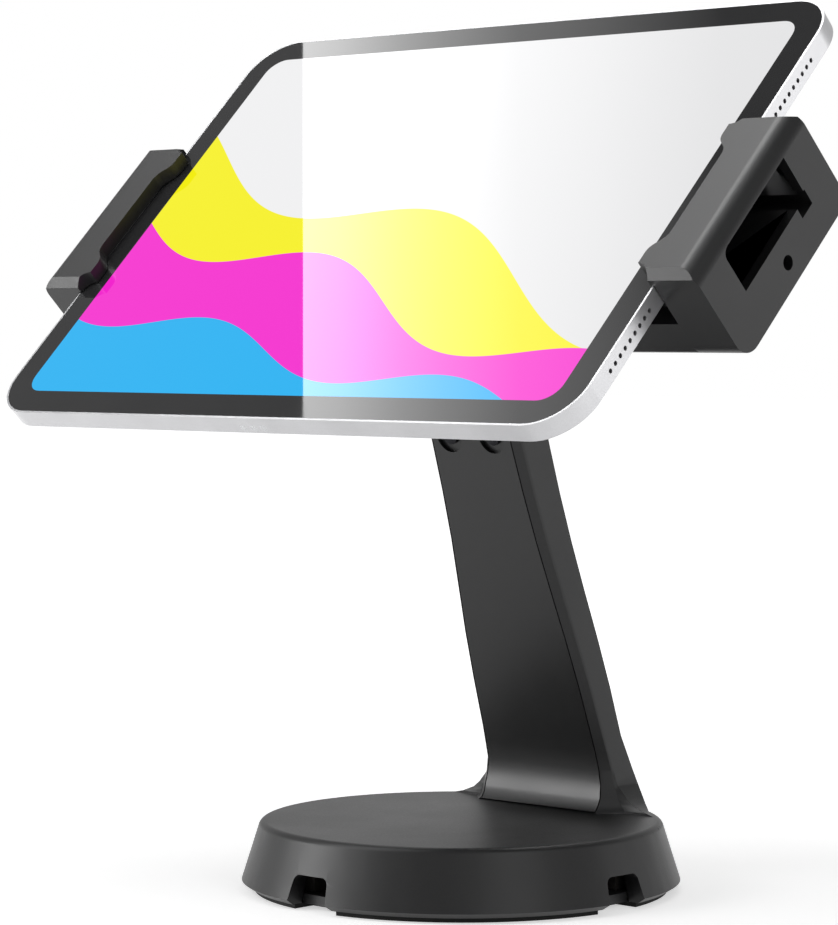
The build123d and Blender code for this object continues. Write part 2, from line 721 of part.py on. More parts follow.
def jaw_body():
    """Adds the right jaw's body to the part being built."""
    with BuildSketch(behind(lip_rear_s)) as lip:
        with BuildLine():
            Polyline(
                (lip_tip_u + lip_tip_corner, clamp_v + jaw_end_half),
                (jaw_outer_u, clamp_v + jaw_end_half),
                (jaw_outer_u, clamp_v - jaw_end_half),
                (lip_tip_u + lip_tip_corner, clamp_v - jaw_end_half),
            )
            for way in (-1, 1):
                RadiusArc(
                    (lip_tip_u + lip_tip_corner, clamp_v + way * jaw_end_half),
                    (lip_tip_u, clamp_v + way * (jaw_end_half - lip_tip_corner)),
                    way * lip_tip_corner,
                )
                Line(
                    (lip_tip_u, clamp_v + way * (jaw_end_half - lip_tip_corner)),
                    (lip_tip_u, clamp_v + way * lip_curve_end),
                )
                Spline(
                    (lip_tip_u, clamp_v + way * lip_curve_end),
                    (lip_recess_u, clamp_v + way * lip_curve_start),
                    tangents=((0, -way), (0, -way)),
                )
            Line((lip_recess_u, clamp_v - lip_curve_start), (lip_recess_u, clamp_v + lip_curve_start))
        make_face()
    extrude(lip.sketch, amount=lip_rear_s - jaw_front_s)
    with BuildSketch(from_side(block_inner_u)) as block:
        with Locations((clamp_v, -(jaw_front_s + jaw_rear_s) / 2)):
            Rectangle(2 * jaw_end_half, jaw_rear_s - jaw_front_s)
    extrude(block.sketch, amount=jaw_outer_u - block_inner_u)
    with BuildSketch(from_side(jaw_arm_end_u)) as arm:
        with Locations((clamp_v, -(jaw_arm_front_s + jaw_arm_rear_s) / 2)):
            Rectangle(2 * jaw_arm_half, jaw_arm_rear_s - jaw_arm_front_s)
    extrude(arm.sketch, amount=block_inner_u - jaw_arm_end_u)
    with BuildSketch(from_side(jaw_arm_end_u)) as end_outline:
        with BuildLine():
            Polyline(
                (clamp_v - jaw_end_half, -jaw_rear_s),
                (clamp_v - jaw_end_half, -jaw_front_s - jaw_end_chamfer),
                (clamp_v - jaw_end_half + jaw_end_chamfer, -jaw_front_s),
                (clamp_v + jaw_end_half - jaw_end_chamfer, -jaw_front_s),
                (clamp_v + jaw_end_half, -jaw_front_s - jaw_end_chamfer),
                (clamp_v + jaw_end_half, -jaw_rear_s),
                close=True,
            )
        make_face()
        fillet(end_outline.vertices().group_by(Axis.Y)[0], radius=jaw_rear_round)
    extrude(end_outline.sketch, amount=jaw_outer_u - jaw_arm_end_u, mode=Mode.INTERSECT)
    with BuildSketch(from_end(clamp_v - jaw_end_half)) as top_outline:
        with BuildLine():
            Polyline(
                (jaw_arm_end_u, jaw_front_s),
                (jaw_outer_u, jaw_front_s),
                (jaw_outer_u, jaw_rear_s),
                (jaw_arm_end_u, jaw_rear_s),
                close=True,
            )
        make_face()
        fillet(top_outline.vertices().group_by(Axis.X)[-1].sort_by(Axis.Y)[0], radius=jaw_front_round)
    extrude(top_outline.sketch, amount=2 * jaw_end_half, mode=Mode.INTERSECT)
    side_pocket = jaw_end_half - jaw_wall
    with BuildSketch(from_side(block_inner_u - overrun)) as pocket:
        with Locations((clamp_v, -(lip_rear_s + jaw_arm_front_s) / 2)):
            Rectangle(2 * side_pocket, jaw_arm_front_s - lip_rear_s)
    extrude(pocket.sketch, amount=jaw_outer_u - jaw_wall - block_inner_u + overrun, mode=Mode.SUBTRACT)
    with BuildSketch(from_side(jaw_outer_u - jaw_wall - overrun)) as window:
        with Locations((clamp_v, -(window_front_s + window_rear_s) / 2)):
            Rectangle(2 * window_half_height, window_rear_s - window_front_s)
        fillet(window.vertices().group_by(Axis.Y)[-1].sort_by(Axis.X)[0], radius=window_corner)
    extrude(window.sketch, amount=jaw_wall + 2 * overrun, mode=Mode.SUBTRACT)
    with BuildSketch(from_side(jaw_arm_end_u - overrun)) as groove:
        with Locations((clamp_v + groove_top_rel - groove_width / 2,
                        -(jaw_arm_front_s + (groove_depth - overrun) / 2))):
            Rectangle(groove_width, groove_depth + overrun)
    extrude(groove.sketch, amount=jaw_outer_u - jaw_arm_end_u + 2 * overrun, mode=Mode.SUBTRACT)
    with BuildSketch(turntable(jaw_arm_rear_s + overrun)) as slot:
        with Locations((0, 0)):
            Rectangle(2 * jaw_slot_end_u, 2 * (nut_block_half + fit_gap))
    extrude(slot.sketch, amount=jaw_arm_rear_s - jaw_arm_front_s + 2 * overrun, mode=Mode.SUBTRACT)


with BuildPart() as right_jaw:
    jaw_body()
    drill(along_u(clamp_head_u + clamp_head_length), clamp_head_radius + fit_gap,
          clamp_head_u + clamp_head_length - jaw_slot_end_u + overrun)
    drill(along_u(jaw_outer_u), clamp_key_radius, jaw_outer_u - clamp_head_u)
write(right_jaw, "right_jaw")

with BuildPart() as plain_jaw:
    jaw_body()
with BuildPart() as left_jaw:
    add(mirror(plain_jaw.part, about=Plane.YZ, mode=Mode.PRIVATE))
    with BuildSketch(behind(cradle_back_s)) as holes:
        with Locations(*[(u, v) for u in rear_screw_us for v in rear_screw_vs]):
            Circle(m3_radius + bore_gap)
    extrude(holes.sketch, amount=m3_length + bore_gap, mode=Mode.SUBTRACT)
write(left_jaw, "left_jaw")

with BuildPart() as clamp_screw:
    pan_screw(along_u(clamp_head_u), clamp_screw_radius, clamp_head_radius, clamp_head_length,
              clamp_screw_length)
    with BuildSketch(along_u(clamp_head_u + clamp_head_length)) as socket:
        RegularPolygon(clamp_socket_radius, hex_sides)
    extrude(socket.sketch, amount=-clamp_socket_depth, mode=Mode.SUBTRACT)
write(clamp_screw, "clamp_screw")

with BuildPart() as clamp_collar:
    with BuildSketch(along_u(clamp_head_u - run_gap)):
        Circle(clamp_head_radius + fit_gap)
        Circle(clamp_screw_radius + bore_gap, mode=Mode.SUBTRACT)
    extrude(amount=-clamp_collar_length)
write(clamp_collar, "clamp_collar")

with BuildPart() as right_back_pad:
    with BuildSketch(turntable(jaw_arm_front_s)):
        with Locations(((pad_inner_u + pad_outer_u) / 2, 0)):
            Rectangle(pad_outer_u - pad_inner_u, 2 * pad_half)
    extrude(amount=jaw_arm_front_s - pad_front_s)
write(right_back_pad, "right_back_pad")

with BuildPart() as left_back_pad:
    add(mirror(right_back_pad.part, about=Plane.YZ, mode=Mode.PRIVATE))
write(left_back_pad, "left_back_pad")

# Tablet
glass_width = tablet_width - 2 * tablet_edge
glass_height = tablet_height - 2 * tablet_edge
glass_corner = tablet_corner - tablet_edge
display_rear_s = glass_thickness + display_thickness
cavity_width = tablet_width - 2 * tablet_wall
cavity_height = tablet_height - 2 * tablet_wall
cavity_corner = tablet_corner - tablet_wall
cavity_rear_s = tablet_thickness - tablet_wall
battery_front_s = display_rear_s + run_gap
button_seat = tablet_wall + button_stem
button_middle_s = tablet_thickness / 2

lower_edge = Plane(origin=glass_centre - upward * (tablet_height / 2), x_dir=across, z_dir=-upward)

button_places = {
    "power_button": (Plane(origin=behind(button_middle_s).from_local_coords(
        (-tablet_width / 2, power_button_v, 0)), x_dir=upward, z_dir=-across), power_button_length),
    "volume_up_button": (Plane(origin=behind(button_middle_s).from_local_coords(
        (volume_button_u, tablet_height / 2, 0)), x_dir=across, z_dir=upward), volume_button_length),
    "volume_down_button": (Plane(origin=behind(button_middle_s).from_local_coords(
        (volume_button_u + volume_button_pitch, tablet_height / 2, 0)), x_dir=across,
        z_dir=upward), volume_button_length),
}

with BuildPart() as tablet_housing:
    with BuildSketch(behind(tablet_thickness)):
        RectangleRounded(tablet_width, tablet_height, tablet_corner)
    extrude(amount=tablet_thickness)
    chamfer(tablet_housing.edges().group_by(Axis((0, 0, 0), outward))[0], length=tablet_chamfer)
    with BuildSketch(behind(glass_thickness)):
        RectangleRounded(glass_width, glass_height, glass_corner)
    extrude(amount=glass_thickness, mode=Mode.SUBTRACT)
    with BuildSketch(behind(cavity_rear_s)):
        RectangleRounded(cavity_width, cavity_height, cavity_corner)
    extrude(amount=cavity_rear_s - glass_thickness, mode=Mode.SUBTRACT)
    speaker_row = (speaker_hole_count - 1) * speaker_hole_pitch
    for group_v in (-speaker_group_v, speaker_group_v):
        with BuildSketch(from_side(-tablet_width / 2 - overrun)) as holes:
            with Locations((group_v, -speaker_depth)):
                with GridLocations(speaker_hole_pitch, speaker_hole_pitch, speaker_hole_count, 1):
                    Circle(speaker_hole_radius)
        extrude(holes.sketch, amount=tablet_width + 2 * overrun, mode=Mode.SUBTRACT)
    with BuildSketch(from_side(tablet_width / 2 - 2 * tablet_wall)) as port:
        with Locations((0, -button_middle_s)):
            SlotOverall(port_width, port_thickness)
    extrude(port.sketch, amount=2 * tablet_wall + overrun, mode=Mode.SUBTRACT)
    for place, length in button_places.values():
        with BuildSketch(place) as slot:
            SlotOverall(length + 2 * run_gap, button_thickness + 2 * run_gap)
        extrude(slot.sketch, amount=-2 * tablet_wall, mode=Mode.SUBTRACT)
    with BuildSketch(behind(tablet_thickness)) as bump:
        with Locations((camera_u, camera_v)):
            Circle(camera_bump_radius)
    extrude(bump.sketch, amount=-camera_bump_height)
    with BuildSketch(behind(tablet_thickness + camera_bump_height)) as lens_hole:
        with Locations((camera_u, camera_v)):
            Circle(camera_lens_radius + bore_gap)
    extrude(lens_hole.sketch, amount=camera_bump_height + tablet_wall, mode=Mode.SUBTRACT)
    with BuildSketch(lower_edge) as dot_seats:
        with Locations((contact_dot_u, -contact_dot_s)):
            with GridLocations(contact_dot_pitch, contact_dot_pitch, contact_dot_count, 1):
                Circle(contact_dot_radius)
    extrude(dot_seats.sketch, amount=-contact_dot_depth, mode=Mode.SUBTRACT)
write(tablet_housing, "tablet_housing")

with BuildPart() as tablet_glass:
    with BuildSketch(behind(glass_thickness)):
        RectangleRounded(glass_width - 2 * bore_gap, glass_height - 2 * bore_gap, glass_corner - bore_gap)
    extrude(amount=glass_thickness)
write(tablet_glass, "tablet_glass")

with BuildPart() as tablet_display:
    with BuildSketch(behind(display_rear_s)):
        RectangleRounded(glass_width - 2 * display_border, glass_height - 2 * display_border,
                         glass_corner - display_border)
    extrude(amount=display_thickness)
write(tablet_display, "tablet_display")

with BuildPart() as tablet_battery:
    with BuildSketch(behind(cavity_rear_s)):
        with Locations((-board_width / 2, 0)):
            Rectangle(battery_width, battery_height)
    extrude(amount=cavity_rear_s - battery_front_s)
write(tablet_battery, "tablet_battery")

with BuildPart() as tablet_board:
    with BuildSketch(behind(cavity_rear_s)):
        with Locations((battery_width / 2 + board_gap, 0)):
            Rectangle(board_width, board_height)
    extrude(amount=board_thickness)
write(tablet_board, "tablet_board")

with BuildPart() as tablet_camera_lens:
    with BuildSketch(behind(tablet_thickness + camera_bump_height)):
        with Locations((camera_u, camera_v)):
            Circle(camera_lens_radius)
    extrude(amount=camera_bump_height + tablet_wall)
write(tablet_camera_lens, "tablet_camera_lens")

with BuildPart() as tablet_contacts:
    with BuildSketch(lower_edge) as dots:
        with Locations((contact_dot_u, -contact_dot_s)):
            with GridLocations(contact_dot_pitch, contact_dot_pitch, contact_dot_count, 1):
                Circle(contact_dot_radius)
    extrude(dots.sketch, amount=-contact_dot_depth)
write(tablet_contacts, "tablet_contacts")

for name, (place, length) in button_places.items():
    with BuildPart() as button:
        with BuildSketch(place.offset(button_reach)) as cap:
            SlotOverall(length, button_thickness)
        extrude(cap.sketch, amount=-(button_reach + button_seat))
    write(button, name)
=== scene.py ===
"""Tablet kiosk stand in its studio: finishes, fine detail, floor, light and camera."""
import json
from math import cos, pi, radians, sin

import bpy
from mathutils import Euler, Matrix, Vector

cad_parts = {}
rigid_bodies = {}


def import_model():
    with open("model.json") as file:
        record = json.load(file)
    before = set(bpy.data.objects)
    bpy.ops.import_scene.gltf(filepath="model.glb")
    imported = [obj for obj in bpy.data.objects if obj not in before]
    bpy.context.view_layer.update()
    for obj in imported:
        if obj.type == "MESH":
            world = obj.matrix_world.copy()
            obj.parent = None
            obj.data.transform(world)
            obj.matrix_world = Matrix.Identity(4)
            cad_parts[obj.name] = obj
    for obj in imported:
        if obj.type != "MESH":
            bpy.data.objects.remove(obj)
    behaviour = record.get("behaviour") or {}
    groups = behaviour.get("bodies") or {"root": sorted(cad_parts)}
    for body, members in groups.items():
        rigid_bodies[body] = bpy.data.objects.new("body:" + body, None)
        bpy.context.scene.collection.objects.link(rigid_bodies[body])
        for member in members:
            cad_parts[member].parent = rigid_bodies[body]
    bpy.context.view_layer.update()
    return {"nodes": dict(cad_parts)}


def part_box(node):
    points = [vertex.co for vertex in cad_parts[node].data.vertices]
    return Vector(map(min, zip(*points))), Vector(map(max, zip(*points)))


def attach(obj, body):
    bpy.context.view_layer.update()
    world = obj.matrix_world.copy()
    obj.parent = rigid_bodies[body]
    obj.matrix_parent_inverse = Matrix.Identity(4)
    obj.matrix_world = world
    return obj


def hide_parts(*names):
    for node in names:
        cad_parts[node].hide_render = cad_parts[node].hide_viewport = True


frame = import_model()

bl_info = {
    "name": "Tablet kiosk stand",
    "version": (1, 0, 0),
    "blender": (4, 5, 0),
    "location": "View3D > Sidebar > Stand",
    "description": "Dresses the stand's frame with moulded plastic, metal, glass and a lit screen",
    "category": "Object",
}

MM = 0.001

# The glass plane: ACROSS runs along the long side, UP runs up the glass, OUT points at the viewer.
# A printed BORDER runs round the picture
LEAN = radians(45.0)
ACROSS = Vector((1, 0, 0))
UP = Vector((0, sin(LEAN), cos(LEAN)))
OUT = Vector((0, -cos(LEAN), sin(LEAN)))
glass_low, glass_high = (Vector(corner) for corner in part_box("tablet_glass"))
GLASS_THICK = 0.7 * MM
GLASS_WIDE = glass_high.x - glass_low.x
GLASS_TALL = (glass_high.y - glass_low.y - GLASS_THICK * cos(LEAN)) / sin(LEAN)
GLASS_MIDDLE = (glass_low + glass_high) / 2 + OUT * GLASS_THICK / 2
GLASS_CORNER = 15.8 * MM
GLASS_CORNER_STEPS = 12
BORDER = 9.0 * MM


def linear(code):
    """Turns an sRGB hex colour into linear RGBA."""
    parts = [int(code[i:i + 2], 16) / 255 for i in (1, 3, 5)]
    low_end, slope, offset, power = 0.04045, 12.92, 0.055, 2.4
    return [c / slope if c <= low_end else ((c + offset) / (1 + offset)) ** power for c in parts] + [1.0]


WHITE = linear("#ffffff")


class StandFinish(bpy.types.PropertyGroup):
    """Sizes and colours of the stand's finish."""
    plastic: bpy.props.StringProperty(name="Plastic", description="Colour of the moulded plastic",
                                      default="#131314")
    cover: bpy.props.StringProperty(name="Cover", description="Colour of the arm's front cover",
                                    default="#121213")
    silver: bpy.props.StringProperty(name="Silver", description="Colour of the tablet's metal",
                                     default="#c2c2c4")
    screen: bpy.props.StringProperty(name="Screen", description="Ground colour of the picture",
                                     default="#f2f2f3")
    edge: bpy.props.FloatProperty(name="Edge", description="Radius of the moulded edges",
                                  default=0.5 * MM, unit="LENGTH")
    metal_edge: bpy.props.FloatProperty(name="Metal edge", description="Radius of the tablet's edges",
                                        default=0.3 * MM, unit="LENGTH")
    fine_edge: bpy.props.FloatProperty(name="Fine edge", description="Radius of small parts' edges",
                                       default=0.2 * MM, unit="LENGTH")
    lamp: bpy.props.FloatProperty(name="Lamp", description="Strength of the softboxes", default=1.0)
    card: bpy.props.FloatProperty(name="Card", description="Strength of the card that the glass mirrors",
                                  default=1.0)


def finish_values():
    """The sizes and colours that the panel shows."""
    return bpy.context.scene.stand_finish


def add_node(tree, kind, inputs=None, stops=(), **settings):
    """Adds a node, sets it and its colour stops, and fills its inputs with values or links."""
    node = tree.nodes.new(kind)
    for key, value in settings.items():
        setattr(node, key, value)
    for key, value in (inputs or {}).items():
        if isinstance(value, bpy.types.NodeSocket):
            tree.links.new(value, node.inputs[key])
        else:
            node.inputs[key].default_value = value
    if stops:
        elements = node.color_ramp.elements
        while len(elements) < len(stops):
            elements.new(1.0)
        for element, (place, colour) in zip(elements, stops):
            element.position = place
            element.color = colour
    return node


def emptied(owner):
    """The node tree of a material or a world, with nothing in it."""
    owner.use_nodes = True
    owner.node_tree.nodes.clear()
    return owner.node_tree


def new_material(name):
    """A material with its tree and Principled shader, or with neither where it is there already."""
    material = bpy.data.materials.get(name)
    if material:
        return material, None, None
    material = bpy.data.materials.new(name)
    tree = emptied(material)
    shader = add_node(tree, "ShaderNodeBsdfPrincipled")
    add_node(tree, "ShaderNodeOutputMaterial", {"Surface": shader.outputs["BSDF"]})
    return material, tree, shader


# In a grained finish a cloudy tone, so many grains wide, mixes in by its share. The mix keeps near
# its middle, so tone and gloss go from low to high between these levels of it
GRAIN_DETAIL = 3.0
CLOUD_DETAIL = 2.0
CLOUD_GRAINS = 60
CLOUD_SHARE = 0.45
TONE_LOW = 0.35
TONE_HIGH = 0.65
GLOSS_LOW = 0.3
GLOSS_HIGH = 0.7
BUMP_STRENGTH = 0.6


def grained(name, tones, rough, grain, bump, metallic=0.0, specular=0.5, finer=(1, 1, 1)):
    """A surface whose grain moves its tone, gloss and height, and is finer along an axis for tool lines."""
    material, tree, shader = new_material(name)
    if tree is None:
        return material
    place = add_node(tree, "ShaderNodeTexCoord")
    spread = add_node(tree, "ShaderNodeMapping", {"Vector": place.outputs["Object"], "Scale": finer})
    fine = add_node(tree, "ShaderNodeTexNoise", {"Vector": spread.outputs["Vector"],
                                                "Scale": 1 / grain, "Detail": GRAIN_DETAIL})
    cloud = add_node(tree, "ShaderNodeTexNoise", {"Vector": spread.outputs["Vector"],
                                                 "Scale": 1 / (CLOUD_GRAINS * grain),
                                                 "Detail": CLOUD_DETAIL})
    both = add_node(tree, "ShaderNodeMix", {0: CLOUD_SHARE, 2: fine.outputs["Fac"],
                                           3: cloud.outputs["Fac"]})
    tone = add_node(tree, "ShaderNodeValToRGB", {"Fac": both.outputs[0]},
                    stops=((TONE_LOW, linear(tones[0])), (TONE_HIGH, linear(tones[1]))))
    gloss = add_node(tree, "ShaderNodeMapRange", {"Value": both.outputs[0],
                                                 "From Min": GLOSS_LOW, "From Max": GLOSS_HIGH,
                                                 "To Min": rough[0], "To Max": rough[1]})
    height = add_node(tree, "ShaderNodeBump", {"Height": fine.outputs["Fac"],
                                              "Strength": BUMP_STRENGTH, "Distance": bump})
    tree.links.new(tone.outputs["Color"], shader.inputs["Base Color"])
    tree.links.new(gloss.outputs["Result"], shader.inputs["Roughness"])
    tree.links.new(height.outputs["Normal"], shader.inputs["Normal"])
    shader.inputs["Metallic"].default_value = metallic
    shader.inputs["Specular IOR Level"].default_value = specular
    return material


# A dot of the picture is about 0.3 mm of the object. Grain and tool marks that are really finer, on
# the plastics, the rubber, the iron and the bright metals, are drawn as coarse as they need to show

# Moulded ABS with a spark eroded satin grain: broad soft highlights on charcoal
def moulded_abs():
    return grained("moulded_abs_charcoal", tones=(finish_values().plastic, "#19191a"),
                   rough=(0.36, 0.46), grain=0.5 * MM, bump=0.012 * MM, specular=0.4)


# The front cover is the same ABS from a finer mould: a little smoother and darker
def cover_abs():
    return grained("cover_abs_charcoal", tones=(finish_values().cover, "#171718"),
                   rough=(0.32, 0.40), grain=0.4 * MM, bump=0.008 * MM, specular=0.4)


# Sheet steel with a black powder coat: a slight orange peel
def powder_coat():
    return grained("powder_coated_steel", tones=("#1b1b1c", "#242425"),
                   rough=(0.45, 0.6), grain=0.9 * MM, bump=0.03 * MM)


# Grey iron as cast: sandy and dull
def cast_iron():
    return grained("grey_cast_iron", tones=("#3a3836", "#55524f"),
                   rough=(0.6, 0.8), grain=1.2 * MM, bump=0.12 * MM, metallic=0.8)


# Moulded silicone rubber: nearly black, dull, dusty in its broad tone
def rubber():
    return grained("moulded_rubber", tones=("#161616", "#222222"),
                   rough=(0.7, 0.85), grain=0.6 * MM, bump=0.03 * MM, specular=0.3)


# Closed cell foam: its fine pores show as a bumpy skin
def foam():
    return grained("closed_cell_foam", tones=("#1a1a1b", "#2b2b2d"),
                   rough=(0.8, 0.95), grain=0.7 * MM, bump=0.12 * MM, specular=0.2)


# Zinc plated steel: bright with a slightly blue cast and turned streaks
def zinc_plate():
    return grained("zinc_plated_steel", tones=("#b4b6ba", "#d4d6d9"),
                   rough=(0.22, 0.38), grain=0.3 * MM, bump=0.01 * MM, metallic=1.0, finer=(1, 1, 6))


# Black oxide on steel: dark metal with an oily gloss
def black_oxide():
    return grained("black_oxide_steel", tones=("#17171a", "#2a2a2d"),
                   rough=(0.25, 0.4), grain=0.3 * MM, bump=0.01 * MM, metallic=0.9)


# Natural nylon: milky and waxy
def nylon():
    return grained("natural_nylon", tones=("#d9d6cc", "#e6e3da"),
                   rough=(0.4, 0.5), grain=1.0 * MM, bump=0.01 * MM)


# Machined brass: yellow metal with tool lines
def brass():
    return grained("machined_brass", tones=("#b08a3e", "#d2ac5c"),
                   rough=(0.2, 0.35), grain=0.4 * MM, bump=0.01 * MM, metallic=1.0, finer=(8, 1, 1))


# Bead blasted anodised aluminium: bright, silky, with a very fine sparkle
def anodised():
    return grained("anodised_aluminium", tones=(finish_values().silver, "#cfcfd1"),
                   rough=(0.28, 0.36), grain=0.25 * MM, bump=0.006 * MM, metallic=0.85)


# The display's stack of films behind the glass: dark grey and dull
def display_stack():
    return grained("display_stack", tones=("#232427", "#2c2d30"),
                   rough=(0.4, 0.5), grain=2.0 * MM, bump=0.01 * MM)


# The battery's pouch: crinkled silvery foil
def pouch_foil():
    return grained("pouch_foil", tones=("#8f9092", "#a5a6a8"),
                   rough=(0.3, 0.5), grain=3.0 * MM, bump=0.1 * MM, metallic=0.9)


# Circuit board laminate under solder mask: dark green and glossy, a little uneven
def laminate():
    return grained("board_laminate", tones=("#14361f", "#1d4a2b"),
                   rough=(0.3, 0.45), grain=2.0 * MM, bump=0.05 * MM)


# Plated contacts: small pale discs, smoother than the housing
def contact_plate():
    return grained("plated_contact", tones=("#c9cacc", "#e2e3e5"),
                   rough=(0.2, 0.3), grain=0.3 * MM, bump=0.005 * MM, metallic=0.6)


# Bands of the screen's picture, upper first: each one's level at the middle of the glass, slope,
# swell, wave length, turn of the wave, and colour
PICTURE = (
    (-6.0 * MM, -0.36, 13.0 * MM, 170.0 * MM, 0.6, "#f8f200"),
    (-34.0 * MM, -0.30, 10.0 * MM, 140.0 * MM, 2.2, "#f71fd1"),
    (-64.0 * MM, -0.20, 7.0 * MM, 120.0 * MM, 4.0, "#18b4f4"),
)
BAND_EDGE = 0.1 * MM

# The ground turns from its own colour to a shade of it, from this share of the width to the right
GROUND_FADE = 0.35
GROUND_SHADE = "#e8e8e9"

SCREEN_GLOW = 0.95
GLASS_IOR = 1.5


def below_wave(tree, across, up, level, slope, swell, length, turn):
    """One under a sloping wave on the glass and nothing over it."""
    run = add_node(tree, "ShaderNodeMath", {0: across, 1: 2 * pi / length, 2: turn},
                   operation="MULTIPLY_ADD")
    wave = add_node(tree, "ShaderNodeMath", {0: run.outputs[0]}, operation="SINE")
    fall = add_node(tree, "ShaderNodeMath", {0: across, 1: slope, 2: level}, operation="MULTIPLY_ADD")
    top = add_node(tree, "ShaderNodeMath", {0: wave.outputs[0], 1: swell, 2: fall.outputs[0]},
                   operation="MULTIPLY_ADD")
    over = add_node(tree, "ShaderNodeMath", {0: top.outputs[0], 1: up}, operation="SUBTRACT")
    edge = add_node(tree, "ShaderNodeMapRange", {"Value": over.outputs[0], "From Min": -BAND_EDGE,
                                                "From Max": BAND_EDGE})
    return edge.outputs["Result"]


def picture_colour(tree):
    """A generic picture of sloping wavy bands on a pale ground."""
    place = add_node(tree, "ShaderNodeTexCoord")
    moved = add_node(tree, "ShaderNodeVectorMath", {0: place.outputs["Object"], 1: GLASS_MIDDLE},
                     operation="SUBTRACT")
    flat = add_node(tree, "ShaderNodeVectorRotate",
                    {"Vector": moved.outputs["Vector"], "Angle": LEAN - pi / 2}, rotation_type="X_AXIS")
    sides = add_node(tree, "ShaderNodeSeparateXYZ", {"Vector": flat.outputs["Vector"]})
    across, up = sides.outputs["X"], sides.outputs["Y"]
    fade = add_node(tree, "ShaderNodeMapRange", {"Value": across, "From Min": -GLASS_WIDE / 2,
                                                "From Max": GLASS_WIDE / 2})
    ground = add_node(tree, "ShaderNodeValToRGB", {"Fac": fade.outputs["Result"]},
                      stops=((GROUND_FADE, linear(finish_values().screen)),
                             (1.0, linear(GROUND_SHADE))))
    colour = ground.outputs["Color"]
    for level, slope, swell, length, turn, code in PICTURE:
        mask = below_wave(tree, across, up, level, slope, swell, length, turn)
        mixed = add_node(tree, "ShaderNodeMix", {0: mask, 6: colour, 7: linear(code)},
                         data_type="RGBA")
        colour = mixed.outputs[2]
    return colour


# The lit display under its glass: a picture that glows a little, with the glass's sharp gloss
def lit_screen():
    material, tree, shader = new_material("lit_screen_glass")
    if tree is None:
        return material
    tree.links.new(picture_colour(tree), shader.inputs["Emission Color"])
    shader.inputs["Base Color"].default_value = linear("#101011")
    shader.inputs["Emission Strength"].default_value = SCREEN_GLOW
    shader.inputs["Roughness"].default_value = 0.01
    shader.inputs["IOR"].default_value = GLASS_IOR
    return material


# How wide a finger's smear on the glass is, and the roughness where it is thickest
SMEAR_SIZE = 30 * MM
SMEAR_ROUGH = 0.04


# Black ink printed behind the glass's edge: deep, with the same sharp gloss and faint smears
def printed_border():
    material, tree, shader = new_material("printed_border_glass")
    if tree is None:
        return material
    place = add_node(tree, "ShaderNodeTexCoord")
    smear = add_node(tree, "ShaderNodeTexNoise", {"Vector": place.outputs["Object"],
                                                 "Scale": 1 / SMEAR_SIZE, "Detail": 4.0})
    tone = add_node(tree, "ShaderNodeValToRGB", {"Fac": smear.outputs["Fac"]},
                    stops=((0.3, linear("#2b2b2c")), (0.7, linear("#303031"))))
    film = add_node(tree, "ShaderNodeMapRange", {"Value": smear.outputs["Fac"], "To Max": SMEAR_ROUGH})
    tree.links.new(tone.outputs["Color"], shader.inputs["Base Color"])
    tree.links.new(film.outputs["Result"], shader.inputs["Roughness"])
    shader.inputs["IOR"].default_value = GLASS_IOR
    return material


# Coated lens glass: nearly black, with a violet coat that shows at a slant
def coated_lens():
    material, tree, shader = new_material("coated_lens_glass")
    if tree is None:
        return material
    edge = add_node(tree, "ShaderNodeLayerWeight", {"Blend": 0.4})
    tone = add_node(tree, "ShaderNodeValToRGB", {"Fac": edge.outputs["Facing"]},
                    stops=((0.0, linear("#0b0b12")), (1.0, linear("#2a2440"))))
    tree.links.new(tone.outputs["Color"], shader.inputs["Base Color"])
    shader.inputs["Roughness"].default_value = 0.04
    return material


def select_only(*pieces):
    """Leaves only these pieces selected, the last one active, or nothing where none is given."""
    if bpy.context.object and bpy.context.object.mode != "OBJECT":
        bpy.ops.object.mode_set(mode="OBJECT")
    bpy.ops.object.select_all(action="DESELECT")
    for piece in pieces:
        piece.select_set(True)
        bpy.context.view_layer.objects.active = piece


def apply_modifier(piece, kind, **settings):
    """Applies one modifier to the selected piece."""
    modifier = piece.modifiers.new(kind.lower(), kind)
    for key, value in settings.items():
        setattr(modifier, key, value)
    bpy.ops.object.modifier_apply(modifier=modifier.name)


def paint(piece, *materials):
    """Gives a piece its materials in place of what it had."""
    piece.data.materials.clear()
    for material in materials:
        piece.data.materials.append(material)


def paint_nodes(names, material):
    """Gives CAD nodes one material."""
    for name in names:
        paint(frame["nodes"][name], material)


# A CAD node's loose triangles meet within MERGE, and make one face where they turn less than FLAT.
# An edge that turns more than SHARP is rounded
MERGE = 0.004 * MM
FLAT = radians(0.3)
SHARP = radians(32.0)
EDGE_STEPS = 2


def rounded_copy(name, node, body, material, width):
    """Copies a CAD node, joins its triangles, rounds its sharp edges and stands for it."""
    source = frame["nodes"][node]
    select_only(source)
    bpy.ops.object.duplicate(linked=False)
    piece = bpy.context.object
    piece.name = name
    bpy.ops.object.parent_clear(type="CLEAR_KEEP_TRANSFORM")
    bpy.ops.object.mode_set(mode="EDIT")
    bpy.ops.mesh.select_all(action="SELECT")
    bpy.ops.mesh.remove_doubles(threshold=MERGE)
    bpy.ops.mesh.dissolve_limited(angle_limit=FLAT)
    bpy.ops.object.mode_set(mode="OBJECT")
    apply_modifier(piece, "BEVEL", width=width, segments=EDGE_STEPS, limit_method="ANGLE",
                   angle_limit=SHARP, use_clamp_overlap=True)
    bpy.ops.object.shade_smooth_by_angle(angle=SHARP)
    apply_modifier(piece, "WEIGHTED_NORMAL", keep_sharp=True)
    paint(piece, material)
    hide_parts(node)
    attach(piece, body)
    return piece


# The hex socket in a screw head: its corner's distance from the middle, and its depth
SOCKET = 1.15 * MM
SOCKET_DEPTH = 0.9 * MM
SOCKET_SIDES = 6

